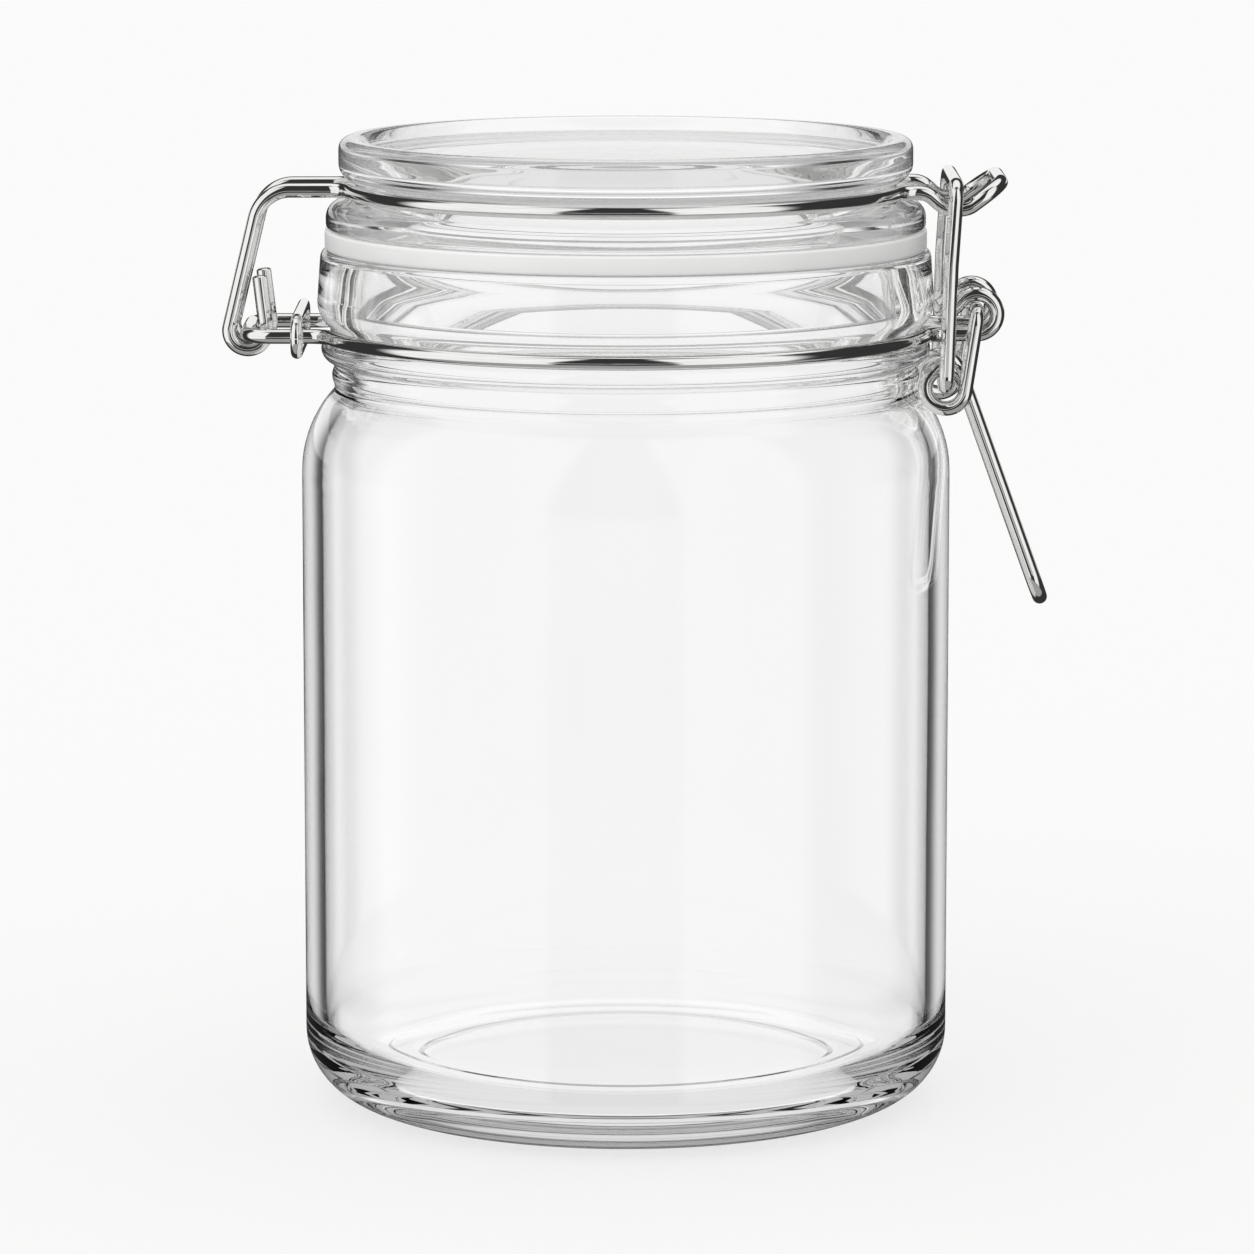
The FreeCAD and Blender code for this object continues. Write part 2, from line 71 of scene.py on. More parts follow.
def fire_polished(outline, softness, closed=False):
    """The outline with its corners melted round, as points that are close together only on the bends."""
    grain = 0.1
    longest = 3.0
    sharpest = math.radians(4)
    outline = np.array(outline + outline[:1] if closed else outline)
    lengths = np.r_[0, np.cumsum(np.linalg.norm(np.diff(outline, axis=0), axis=1))]
    fine = np.linspace(0, lengths[-1], int(lengths[-1] / grain) + 1)
    points = np.c_[np.interp(fine, lengths, outline[:, 0]), np.interp(fine, lengths, outline[:, 1])]
    reach = int(softness * 4 / grain)
    weights = np.exp(-0.5 * (np.arange(-reach, reach + 1) * grain / softness) ** 2)
    weights /= weights.sum()
    if closed:
        padded = np.r_[points[-reach - 1:-1], points, points[1:reach + 1]]
    else:
        mirror = np.array([-1, 1])
        padded = np.r_[points[reach:0:-1] * mirror, points, points[-2:-reach - 2:-1] * mirror]
    points = np.c_[np.convolve(padded[:, 0], weights, "valid"), np.convolve(padded[:, 1], weights, "valid")]
    heading = np.unwrap(np.arctan2(*np.gradient(points, axis=0).T[::-1]))
    kept = [0]
    for index in range(1, len(points) - 1):
        turned = abs(heading[index] - heading[kept[-1]])
        if turned > sharpest or fine[index] - fine[kept[-1]] > longest:
            kept.append(index)
    if not closed:
        kept.append(len(points) - 1)
    return points[kept]


def turned_piece(name, profile, closed=False):
    """A mesh of the profile turned about Z. An open profile begins and ends on the axis."""
    rings = profile if closed else profile[1:-1]
    angles = np.arange(ROUND_STEPS) * math.tau / ROUND_STEPS
    spots = [(r * math.cos(a) * MM, r * math.sin(a) * MM, z * MM) for r, z in rings for a in angles]
    faces = []
    last = len(rings) if closed else len(rings) - 1
    for ring in range(last):
        here = ring * ROUND_STEPS
        above = (ring + 1) % len(rings) * ROUND_STEPS
        for step in range(ROUND_STEPS):
            after = (step + 1) % ROUND_STEPS
            faces.append((here + step, here + after, above + after, above + step))
    if not closed:
        top_ring = (len(rings) - 1) * ROUND_STEPS
        spots += [(0, 0, profile[0][1] * MM), (0, 0, profile[-1][1] * MM)]
        for step in range(ROUND_STEPS):
            after = (step + 1) % ROUND_STEPS
            faces.append((len(spots) - 2, after, step))
            faces.append((len(spots) - 1, top_ring + step, top_ring + after))
    mesh = bpy.data.meshes.new(name)
    mesh.from_pydata(spots, [], faces)
    mesh.shade_smooth()
    piece = bpy.data.objects.new(name, mesh)
    bpy.context.collection.objects.link(piece)
    return piece


def node_of(material, kind, **values):
    node = material.node_tree.nodes.new(kind)
    for key, value in values.items():
        setattr(node, key, value)
    return node


def pressed_glass(name, wave_size, wave_depth, streaks):
    """Clear glass with the slow waves that pressing leaves on it, squeezed upright into streaks, and a little
    grey in its depth."""
    glass = bpy.data.materials.new(name)
    glass.use_nodes = True
    links = glass.node_tree.links
    shader = glass.node_tree.nodes["Principled BSDF"]
    shader.inputs["Roughness"].default_value = 0.0
    shader.inputs["IOR"].default_value = 1.5
    shader.inputs["Transmission Weight"].default_value = 1.0
    place = node_of(glass, "ShaderNodeTexCoord")
    squeeze = node_of(glass, "ShaderNodeMapping")
    squeeze.inputs["Scale"].default_value = (1.0, 1.0, streaks)
    waves = node_of(glass, "ShaderNodeTexNoise")
    waves.inputs["Scale"].default_value = 1 / wave_size
    waves.inputs["Detail"].default_value = 1.0
    bump = node_of(glass, "ShaderNodeBump")
    bump.inputs["Strength"].default_value = 1.0
    bump.inputs["Distance"].default_value = wave_depth
    links.new(place.outputs["Object"], squeeze.inputs["Vector"])
    links.new(squeeze.outputs["Vector"], waves.inputs["Vector"])
    links.new(waves.outputs["Fac"], bump.inputs["Height"])
    links.new(bump.outputs["Normal"], shader.inputs["Normal"])
    tone = node_of(glass, "ShaderNodeValToRGB")
    tone.color_ramp.elements[0].color = (0.985, 0.988, 0.986, 1.0)
    tone.color_ramp.elements[1].color = (1.0, 1.0, 1.0, 1.0)
    links.new(waves.outputs["Fac"], tone.inputs["Fac"])
    links.new(tone.outputs["Color"], shader.inputs["Base Color"])
    depth = node_of(glass, "ShaderNodeVolumeAbsorption")
    depth.inputs["Color"].default_value = (0.890, 0.902, 0.896, 1.0)
    depth.inputs["Density"].default_value = 4.0
    links.new(depth.outputs["Volume"], glass.node_tree.nodes["Material Output"].inputs["Volume"])
    return glass


WIRE = 2.5
GROOVE = WIRE / 2 + 0.3
GROOVE_LIP = math.radians(50)
body = 55.0
wall = 3.4
neck = body - 5.6
mouth = neck - 3.4
band = neck + 2.8
rim = 145.8
rim_round = 1.5
mouth_round = 1.2
heel_round = 12.0
inner_heel_round = 9.4
foot = body - heel_round
foot_inner = foot - 7.0
punt_top = 0.5
punt_slope = 0.8
floor_top = 7.4
floor_edge = floor_top - 0.5
shoulder_round = 20.0
shoulder_top = rim - 23.9
shoulder_bottom = shoulder_top - math.sqrt(shoulder_round ** 2 - (shoulder_round - body + neck) ** 2)
inner = body - wall
inner_heel = inner - inner_heel_round
inner_heel_height = floor_edge + inner_heel_round
floor_ring = inner - 6.9
heel_end = inner_heel_height - math.sqrt(inner_heel_round ** 2 - (floor_ring - inner_heel) ** 2)
gutter = floor_edge - 0.1
gutter_slope = 0.4
pad = inner - 10.8
pad_slope = 0.6
inner_round = shoulder_round - wall
inner_top = shoulder_bottom + math.sqrt(inner_round ** 2 - (inner_round - inner + mouth) ** 2)
line_bottom, line_top = rim - 22.7, rim - 20.1
line_bulge = 0.4
collar_bottom = rim - 18.9
collar_bulge = 1.6
neck_height = rim - 13.8
neck_ring = neck + 0.6 + GROOVE
lip_rise = GROOVE * math.sin(GROOVE_LIP)
neck_lip = neck_ring - GROOVE * math.cos(GROOVE_LIP)
groove_bottom, groove_top = neck_height - lip_rise, neck_height + lip_rise
band_height = rim - 8.6
band_bulge = 0.5
rim_outer = band - 0.5

jar_outline = [(0, punt_top), (foot_inner - punt_slope, punt_top), (foot_inner, 0)]
jar_outline += swing((foot, 0), (body, heel_round), heel_round, "left")
jar_outline += [(body, heel_round)]
jar_outline += swing((body, shoulder_bottom), (neck, shoulder_top), shoulder_round, "left")
jar_outline += [(neck, shoulder_top)]
jar_outline += bowed((neck, line_bottom), (neck, line_top), line_bulge)
jar_outline += [(neck, line_top)]
jar_outline += bowed((neck, collar_bottom), (neck_lip, groove_bottom), collar_bulge)
jar_outline += swing((neck_lip, groove_bottom), (neck_lip, groove_top), GROOVE, "right")
jar_outline += bowed((neck_lip, groove_top), (band, band_height), band_bulge)
jar_outline += [(band, band_height)]
jar_outline += swing((rim_outer, rim - rim_round), (rim_outer - rim_round, rim), rim_round, "left")
jar_outline += swing((mouth + mouth_round, rim), (mouth, rim - mouth_round), mouth_round, "left")
jar_outline += [(mouth, rim - mouth_round)]
jar_outline += swing((mouth, inner_top), (inner, shoulder_bottom), inner_round, "right")
jar_outline += [(inner, shoulder_bottom)]
jar_outline += swing((inner, inner_heel_height), (floor_ring, heel_end), inner_heel_round, "right")
jar_outline += [(floor_ring, heel_end), (floor_ring - gutter_slope, gutter), (pad + pad_slope, gutter)]
jar_outline += [(pad, floor_top), (0, floor_top)]

jar = turned_piece("glass_jar", fire_polished(jar_outline, 0.22))
jar_glass = pressed_glass("jar_glass", 0.030, 0.00004, 1.0)
jar.data.materials.append(jar_glass)
jar.visible_shadow = False
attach(jar, "jar")
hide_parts("jar")


# Neck wire
# One length of bright steel wire, laid in the groove of the neck. It is bent into a long bight for the
# lid's hooks on one side and into two open eyes for the lever on the other.

WIRE_SIDES = 28
ALONG_X = Vector((1, 0, 0))
ALONG_Y = Vector((0, 1, 0))
ALONG_Z = Vector((0, 0, 1))


def bend_line(corners, closed=False):
    """Points along a wire that runs straight between corners and turns each on its own radius."""
    points = []
    ends = [] if closed else [0, len(corners) - 1]
    for index, (corner, radius) in enumerate(corners):
        if index in ends:
            points.append(corner)
            continue
        before = corners[index - 1][0]
        after = corners[(index + 1) % len(corners)][0]
        inward = (corner - before).normalized()
        outward = (after - corner).normalized()
        sweep = inward.angle(outward)
        reach = radius * math.tan(sweep / 2)
        centre = corner + (outward - inward).normalized() * (radius / math.cos(sweep / 2))
        start = corner - inward * reach - centre
        steps = max(int(sweep / ARC_STEP), 2)
        for step in range(steps + 1):
            angle = sweep * step / steps
            points.append(centre + start * math.cos(angle) + inward * (radius * math.sin(angle)))
    nearest = 0.02
    spaced = [points[0]]
    for point in points[1:]:
        if (point - spaced[-1]).length > nearest:
            spaced.append(point)
    if closed and (spaced[0] - spaced[-1]).length < nearest:
        spaced.pop()
    return spaced


def bent_wire(name, corners, diameter, closed=False):
    """A round wire along the bend line, with its cut ends a little rounded and its length in its UV map."""
    end_round = 0.25
    end_radius = diameter * 0.38
    line = bend_line(corners, closed)
    radii = [diameter / 2] * len(line)
    if not closed:
        for end, inner in ((0, 1), (-1, -2)):
            along = (line[inner] - line[end]).normalized()
            place = 1 if end == 0 else len(line) - 1
            line.insert(place, line[end] + along * end_round)
            radii.insert(place, diameter / 2)
            radii[end] = end_radius
    count = len(line)
    headings = []
    for index in range(count):
        before = line[index - 1] if closed or index else line[0]
        after = line[(index + 1) % count] if closed or index < count - 1 else line[-1]
        headings.append((after - before).normalized())
    across = headings[0].orthogonal().normalized()
    spots = []
    lengths = []
    travelled = 0.0
    for index in range(count):
        across = (across - headings[index] * across.dot(headings[index])).normalized()
        upright = headings[index].cross(across)
        travelled += (line[index] - line[index - 1]).length if index else 0.0
        lengths.append(travelled)
        for side in range(WIRE_SIDES):
            angle = math.tau * side / WIRE_SIDES
            outward = across * math.cos(angle) + upright * math.sin(angle)
            spots.append((line[index] + outward * radii[index]) * MM)
    faces = []
    unwrapped = []
    for index in range(count if closed else count - 1):
        after = (index + 1) % count
        after_length = lengths[after] if after else lengths[-1] + (line[0] - line[-1]).length
        for side in range(WIRE_SIDES):
            beside = (side + 1) % WIRE_SIDES
            faces.append((index * WIRE_SIDES + side, index * WIRE_SIDES + beside,
                          after * WIRE_SIDES + beside, after * WIRE_SIDES + side))
            left, right = side / WIRE_SIDES, (side + 1) / WIRE_SIDES
            unwrapped += [(left, lengths[index]), (right, lengths[index]),
                          (right, after_length), (left, after_length)]
    if not closed:
        faces.append(tuple(reversed(range(WIRE_SIDES))))
        faces.append(tuple(range((count - 1) * WIRE_SIDES, count * WIRE_SIDES)))
        unwrapped += [(0.0, 0.0)] * (2 * WIRE_SIDES)
    mesh = bpy.data.meshes.new(name)
    mesh.from_pydata(spots, [], faces)
    mesh.uv_layers.new(name="drawn").data.foreach_set("uv", np.array(unwrapped).ravel())
    mesh.shade_smooth()
    mesh.set_sharp_from_angle(angle=math.radians(50))
    piece = bpy.data.objects.new(name, mesh)
    bpy.context.collection.objects.link(piece)
    return piece


def turn(centre, radius, first, last, across, upward, drift=Vector((0, 0, 0))):
    """Corners of a wire that turns about centre from one angle to another in equal bends."""
    largest_bend = 45
    count = math.ceil(abs(last - first) / largest_bend)
    step = math.radians(last - first) / count
    corner_radius = radius / math.cos(step / 2)
    corners = []
    for index in range(count):
        angle = math.radians(first) + step * (index + 0.5)
        outward = across * math.cos(angle) + upward * math.sin(angle)
        corners.append((centre + outward * corner_radius + drift * ((index + 0.5) / count), radius))
    return corners


def mirrored(corners):
    """A whole wire from the corners of its near half."""
    return corners + [(Vector((p.x, -p.y, p.z)), radius) for p, radius in reversed(corners)]


def half_ring(ring_radius, height, right_half, left_half):
    """Near half of a ring round the glass, with the corners where straight runs join it at each side."""
    corner = 4.0

    def joining(half):
        return math.asin((half + corner) / (ring_radius + corner))

    def run_corner(half, side):
        on_run = (ring_radius - half * math.sin(joining(half))) / math.cos(joining(half))
        return Vector((side * on_run, -half, height)), corner

    first = -math.degrees(joining(right_half))
    last = math.degrees(joining(left_half)) - 180
    bends = turn(Vector((0, 0, height)), ring_radius, first, last, ALONG_X, ALONG_Y)
    return [run_corner(right_half, 1)] + bends + [run_corner(left_half, -1)]


def drawn_steel(name):
    """Bright drawn wire: fine marks along its length and slow changes in its polish."""
    steel = bpy.data.materials.new(name)
    steel.use_nodes = True
    links = steel.node_tree.links
    shader = steel.node_tree.nodes["Principled BSDF"]
    shader.inputs["Metallic"].default_value = 1.0
    drawn = node_of(steel, "ShaderNodeUVMap", uv_map="drawn")
    stretch = node_of(steel, "ShaderNodeMapping")
    stretch.inputs["Scale"].default_value = (24.0, 0.12, 1.0)
    marks = node_of(steel, "ShaderNodeTexNoise")
    marks.inputs["Scale"].default_value = 1.0
    marks.inputs["Detail"].default_value = 4.0
    links.new(drawn.outputs["UV"], stretch.inputs["Vector"])
    links.new(stretch.outputs["Vector"], marks.inputs["Vector"])
    tone = node_of(steel, "ShaderNodeValToRGB")
    tone.color_ramp.elements[0].position = 0.25
    tone.color_ramp.elements[0].color = (0.70, 0.70, 0.69, 1.0)
    tone.color_ramp.elements[1].position = 0.75
    tone.color_ramp.elements[1].color = (0.86, 0.86, 0.85, 1.0)
    links.new(marks.outputs["Fac"], tone.inputs["Fac"])
    links.new(tone.outputs["Color"], shader.inputs["Base Color"])
    polish = node_of(steel, "ShaderNodeMapRange")
    polish.inputs["To Min"].default_value = 0.02
    polish.inputs["To Max"].default_value = 0.06
    links.new(marks.outputs["Fac"], polish.inputs["Value"])
    links.new(polish.outputs["Result"], shader.inputs["Roughness"])
    bump = node_of(steel, "ShaderNodeBump")
    bump.inputs["Strength"].default_value = 0.25
    bump.inputs["Distance"].default_value = 0.00003
    links.new(marks.outputs["Fac"], bump.inputs["Height"])
    links.new(bump.outputs["Normal"], shader.inputs["Normal"])
    return steel


eye_half = 9.0
eye_radius = 3.4
eye_reach = 7.45
eye_open = 135
eye_tail = 4.2
eye_centre = Vector((neck_ring + eye_reach, -eye_half, neck_height + eye_radius))
eye_outward = Vector((math.cos(math.radians(eye_open)), 0, math.sin(math.radians(eye_open))))
eye_end = eye_centre + eye_outward * eye_radius + Vector((-eye_outward.z, 0, eye_outward.x)) * eye_tail
bight_half = 12.4
bight_corner = 4.5
hinge_reach = 12.15
hinge_axis = Vector((-neck_ring - hinge_reach, 0, neck_height))

neck_wire = bent_wire("neck_wire_bright", mirrored(
    [(eye_end, 0.0)]
    + turn(eye_centre, eye_radius, eye_open, -90, ALONG_X, ALONG_Z)
    + half_ring(neck_ring, neck_height, eye_half, bight_half)
    + [(hinge_axis - ALONG_Y * bight_half, bight_corner)]), WIRE)
wire_steel = drawn_steel("bright_wire")
neck_wire.data.materials.append(wire_steel)
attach(neck_wire, "jar")
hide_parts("neck_wire")


# Hinge tie ring
# A small closed ring of slightly thinner wire, pressed oval round the two sides of the bight so that
# they can't spread.

tie_size = 2.0
tie_play = 0.2
tie_reach = 3.6
tie_half_height = 2.8
tie_half_width = bight_half + WIRE / 2 + tie_play + tie_size / 2
tie_centre = Vector((-neck_ring - tie_reach, 0, neck_height))

tie_ring = bent_wire("tie_ring_bright", [
    (tie_centre + Vector((0, side * tie_half_width, rise * tie_half_height)), tie_half_height)
    for side, rise in ((1, 1), (1, -1), (-1, -1), (-1, 1))], tie_size, closed=True)
tie_ring.data.materials.append(wire_steel)
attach(tie_ring, "jar")
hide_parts("hinge_tie_ring")


# Seal ring
# A flat moulded ring of off-white silicone, stretched round the lid's plug. It is squeezed between the
# lid's flange and the jar's rim.

lid_base = rim + 3.5
plug = mouth - 2.6
seal_inner = plug + 0.3
seal_edge = band - 1.3
seal_round = 0.5
seal_flat = seal_edge - seal_round
seal_squeeze = 0.03
seal_bottom, seal_top = rim + seal_squeeze, lid_base - seal_squeeze

seal_outline = [(seal_inner, seal_bottom)]
seal_outline += swing((seal_flat, seal_bottom), (seal_edge, seal_bottom + seal_round), seal_round, "left")
seal_outline += swing((seal_edge, seal_top - seal_round), (seal_flat, seal_top), seal_round, "left")
seal_outline += [(seal_flat, seal_top), (seal_inner, seal_top)]
seal = turned_piece("silicone_seal", fire_polished(seal_outline, 0.12, closed=True), closed=True)

silicone = bpy.data.materials.new("off_white_silicone")
silicone.use_nodes = True
silicone_shader = silicone.node_tree.nodes["Principled BSDF"]
silicone_shader.inputs["Roughness"].default_value = 0.42
silicone_shader.inputs["Subsurface Weight"].default_value = 0.35
silicone_shader.inputs["Subsurface Radius"].default_value = (1.0, 1.0, 0.95)
silicone_shader.inputs["Subsurface Scale"].default_value = 0.002
silicone_place = node_of(silicone, "ShaderNodeTexCoord")
silicone_clouds = node_of(silicone, "ShaderNodeTexNoise")
silicone_clouds.inputs["Scale"].default_value = 60.0
silicone_clouds.inputs["Detail"].default_value = 3.0
silicone_tone = node_of(silicone, "ShaderNodeValToRGB")
silicone_tone.color_ramp.elements[0].position = 0.3
silicone_tone.color_ramp.elements[0].color = (0.91, 0.91, 0.90, 1.0)
silicone_tone.color_ramp.elements[1].position = 0.7
silicone_tone.color_ramp.elements[1].color = (0.96, 0.96, 0.95, 1.0)
silicone_skin = node_of(silicone, "ShaderNodeBump")
silicone_skin.inputs["Strength"].default_value = 0.15
silicone_skin.inputs["Distance"].default_value = 0.0001
silicone_links = silicone.node_tree.links
silicone_links.new(silicone_place.outputs["Object"], silicone_clouds.inputs["Vector"])
silicone_links.new(silicone_clouds.outputs["Fac"], silicone_tone.inputs["Fac"])
silicone_links.new(silicone_tone.outputs["Color"], silicone_shader.inputs["Base Color"])
silicone_links.new(silicone_clouds.outputs["Fac"], silicone_skin.inputs["Height"])
silicone_links.new(silicone_skin.outputs["Normal"], silicone_shader.inputs["Normal"])
seal.data.materials.append(silicone)
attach(seal, "lid")
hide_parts("seal_ring")


# Lid
# Pressed clear glass. Its top is dished inside a round rim, its edge has a groove for the lid wire over
# a flange for the seal, and a hollow plug below centres it in the jar's mouth.

lid_top = lid_base + 15.2
lid_rim_round = 1.8
flange = band - 1.5
flange_top = lid_base + 4.5
flange_round = 2.6
flange_edge = 0.4
lid_rim = flange - 2.2
lid_rim_bottom = lid_top - 4.6
lid_wire_level = lid_base + 6.7
lid_ring = lid_rim - 2.9 + GROOVE
lid_lip = lid_ring - GROOVE * math.cos(GROOVE_LIP)
lid_groove_bottom, lid_groove_top = lid_wire_level - lip_rise, lid_wire_level + lip_rise
lid_bulge = 0.5
dish = lid_rim - 4.9
dish_slope = 1.6
dish_floor = lid_top - 2.2
plug_foot = plug - 0.5
plug_bottom = lid_base - 5.0
plug_round = 0.8
cavity = plug_foot - 5.0
cavity_top = cavity - 2.0
cavity_round = 4.5
crown_bottom = dish_floor - 5.2

lid_outline = [(0, crown_bottom)]
lid_outline += swing((cavity_top - cavity_round, crown_bottom), (cavity_top, crown_bottom - cavity_round),
                     cavity_round, "right")
lid_outline += [(cavity_top, crown_bottom - cavity_round)]
lid_outline += [(cavity, plug_bottom + plug_round), (cavity + plug_round, plug_bottom)]
lid_outline += swing((plug_foot - plug_round, plug_bottom), (plug_foot, plug_bottom + plug_round),
                     plug_round, "left")
lid_outline += [(plug_foot, plug_bottom + plug_round), (plug, lid_base)]
lid_outline += [(flange - flange_edge, lid_base), (flange, lid_base + flange_edge)]
lid_outline += swing((flange, flange_top - flange_round), (flange - flange_round, flange_top),
                     flange_round, "left")
lid_outline += [(flange - flange_round, flange_top)]
lid_outline += swing((lid_lip, lid_groove_bottom), (lid_lip, lid_groove_top), GROOVE, "right")
lid_outline += bowed((lid_lip, lid_groove_top), (lid_rim, lid_rim_bottom), lid_bulge)
lid_outline += [(lid_rim, lid_rim_bottom)]
lid_outline += swing((lid_rim, lid_top - lid_rim_round), (lid_rim - lid_rim_round, lid_top),
                     lid_rim_round, "left")
lid_outline += [(lid_rim - lid_rim_round, lid_top), (dish + dish_slope, lid_top)]
lid_outline += [(dish, dish_floor), (0, dish_floor)]

lid = turned_piece("glass_lid", fire_polished(lid_outline, 0.30))
lid.data.materials.append(pressed_glass("lid_glass", 0.022, 0.000025, 6.0))
lid.visible_shadow = False
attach(lid, "lid")
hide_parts("lid")


# Lid wire
# One length of the same wire, laid in the lid's groove. Both its ends turn up as hooks round the bight,
# and its middle stands out as a dipped tongue that the latch holds down.

PIVOT_PLAY = 0.3
lever_play = 0.4
link_play = 0.5
tongue_play = 0.9
lever_half = eye_half + WIRE + lever_play
link_half = lever_half + WIRE + link_play
tongue_half = link_half - WIRE - tongue_play
tongue_bend = 3.5
tongue_corner = 4.5
link_top_x = lid_ring + 8.05
tongue_tip_x = link_top_x + 7.7
valley_end_x, valley_start_x = link_top_x + 2.0, link_top_x - 1.7
dip_x = lid_ring + 3.2
valley_height = lid_wire_level - 2.7
tongue_tip_height = valley_height + 4.2
hook_half = 6.3
hook_radius = 3.1
hook_corner = 6.0
hook_lean = math.radians(13.5)
stub_lean = math.radians(6.8)
stub_length = 9.0

hook_centre = Vector((hinge_axis.x, -hook_half, hinge_axis.z + hook_radius - WIRE - PIVOT_PLAY))
leg_start = hook_centre + Vector((-math.cos(hook_lean), 0, math.sin(hook_lean))) * hook_radius
leg_rise = (lid_wire_level - leg_start.z) / math.cos(hook_lean)
hook_shoulder = leg_start + Vector((math.sin(hook_lean), 0, math.cos(hook_lean))) * leg_rise
stub_end = (hook_centre
            + Vector((math.cos(stub_lean), 0, math.sin(stub_lean))) * hook_radius
            + Vector((-math.sin(stub_lean), 0, math.cos(stub_lean))) * stub_length)
lid_wire_half = [
    (Vector((tongue_tip_x, -tongue_half, tongue_tip_height)), tongue_corner),
    (Vector((valley_end_x, -tongue_half, valley_height)), tongue_bend),
    (Vector((valley_start_x, -tongue_half, valley_height)), tongue_bend),
    (Vector((dip_x, -tongue_half, lid_wire_level)), tongue_bend),
]
lid_wire_half += half_ring(lid_ring, lid_wire_level, tongue_half, hook_half)
lid_wire_half += [(hook_shoulder, hook_corner)]
lid_wire_half += turn(hook_centre, hook_radius,
                      180 - math.degrees(hook_lean), 360 + math.degrees(stub_lean), ALONG_X, ALONG_Z)
lid_wire_half += [(stub_end, 0.0)]

lid_wire = bent_wire("lid_wire_bright", mirrored(lid_wire_half[::-1]), WIRE)
lid_wire.data.materials.append(wire_steel)
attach(lid_wire, "lid")
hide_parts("lid_wire")


# Latch lever
# One bent wire. Its ends turn in as pins through the neck wire's eyes, each leg makes a full coil that
# carries the link, and the middle is the long handle that is pushed down to shut the jar.

pin_end_half = eye_half - WIRE / 2 - 1.1
pin_corner = 2.2
lever_pivot = eye_centre + ALONG_Z * (eye_radius - WIRE - PIVOT_PLAY)
coil_radius = 3.3
coil_reach = 2.15
coil_drop = 9.0
coil_centre = Vector((neck_ring + coil_reach, -lever_half, neck_height - coil_drop))
handle_lean = math.radians(24.6)
handle_length = 39.9
handle_corner = 5.0
handle_tip = coil_centre + Vector((math.sin(handle_lean), 0, -math.cos(handle_lean))) * handle_length


def touching_angle(outside, side):
    """Angle about the coil's centre at which a straight run from a point outside meets the coil."""
    away = outside - coil_centre
    opening = math.acos(coil_radius / math.hypot(away.x, away.z))
    return math.degrees(math.atan2(away.z, away.x) + side * opening)


lever = bent_wire("latch_lever_bright", mirrored(
    [(Vector((lever_pivot.x, -pin_end_half, lever_pivot.z)), 0.0),
     (Vector((lever_pivot.x, -lever_half, lever_pivot.z)), pin_corner)]
    + turn(coil_centre, coil_radius, touching_angle(lever_pivot, -1), touching_angle(handle_tip, 1) - 360,
           ALONG_X, ALONG_Z, ALONG_Y * (lever_half - eye_half))
    + [(Vector((handle_tip.x, -eye_half, handle_tip.z)), handle_corner)]), WIRE)
lever.data.materials.append(wire_steel)
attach(lever, "lever")
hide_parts("latch_lever")


# Latch link
# The bail of the latch: its ends turn in as pins through the lever's coils, its legs have a slight bend,
# and the bar across its top pulls the lid wire's tongue down.

link_pivot = coil_centre + ALONG_Z * (coil_radius - WIRE - PIVOT_PLAY)
knee_rise = 20.6
knee_lean = math.radians(1.8)
knee_round = 12.0
bar_gap = 1.6
bar_corner = 2.6
knee = link_pivot + Vector((math.tan(knee_lean), 0, 1)) * knee_rise

link = bent_wire("latch_link_bright", mirrored([
    (Vector((link_pivot.x, -pin_end_half, link_pivot.z)), 0.0),
    (Vector((link_pivot.x, -link_half, link_pivot.z)), pin_corner),
    (Vector((knee.x, -link_half, knee.z)), knee_round),
    (Vector((link_top_x, -link_half, valley_height + WIRE + bar_gap)), bar_corner),
]), WIRE)
link.data.materials.append(wire_steel)
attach(link, "link")
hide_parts("latch_link")


# Floor
# A wide sheet of white paper that the jar stands on. It is lit, so it takes the jar's soft shadow.

paper_reach = 12.0
paper_level = -0.0002
paper_sides = 64
paper_mesh = bpy.data.meshes.new("paper_floor")
paper_mesh.from_pydata([(paper_reach * math.cos(a), paper_reach * math.sin(a), paper_level)
                        for a in np.arange(paper_sides) * math.tau / paper_sides],
                       [], [tuple(range(paper_sides))])
paper = bpy.data.objects.new("paper_floor", paper_mesh)
bpy.context.collection.objects.link(paper)
paper.visible_glossy = False
paper.visible_transmission = False
white_paper = bpy.data.materials.new("white_paper")
white_paper.use_nodes = True
paper_shader = white_paper.node_tree.nodes["Principled BSDF"]
paper_shader.inputs["Base Color"].default_value = (0.40, 0.40, 0.40, 1.0)
paper_shader.inputs["Roughness"].default_value = 1.0
paper_shader.inputs["Specular IOR Level"].default_value = 0.0
paper_path = node_of(white_paper, "ShaderNodeLightPath")
paper_lift = node_of(white_paper, "ShaderNodeMath", operation="MULTIPLY")
paper_lift.inputs[1].default_value = 0.54
paper_shader.inputs["Emission Color"].default_value = (1.0, 1.0, 0.995, 1.0)
white_paper.node_tree.links.new(paper_path.outputs["Is Camera Ray"], paper_lift.inputs[0])
white_paper.node_tree.links.new(paper_lift.outputs["Value"], paper_shader.inputs["Emission Strength"])
paper.data.materials.append(white_paper)


# Studio
# A white sweep, seen straight through the glass. Softboxes stand left and right of the camera and one hangs
# overhead, but only as painted reflections: they show in the wires and the glass and light nothing, since
# diffuse rays see an even room. The dark gaps between them draw the lines in the glass walls and along the
# wires, and rays that pass through glass after a reflection see painted dark windows, a brighter band and
# painted shade of their own.

studio = bpy.data.worlds.new("studio")
studio.use_nodes = True
bpy.context.scene.world = studio
studio_links = studio.node_tree.links
heading = node_of(studio, "ShaderNodeTexCoord")
parts = node_of(studio, "ShaderNodeSeparateXYZ")
studio_links.new(heading.outputs["Generated"], parts.inputs["Vector"])


def reckoned(operation, *terms):
    """A math node on the studio's light, from outputs of other nodes and plain numbers."""
    node = node_of(studio, "ShaderNodeMath", operation=operation)
    for index, term in enumerate(terms):
        if isinstance(term, (int, float)):
            node.inputs[index].default_value = term
        else:
            studio_links.new(term, node.inputs[index])
    return node.outputs["Value"]


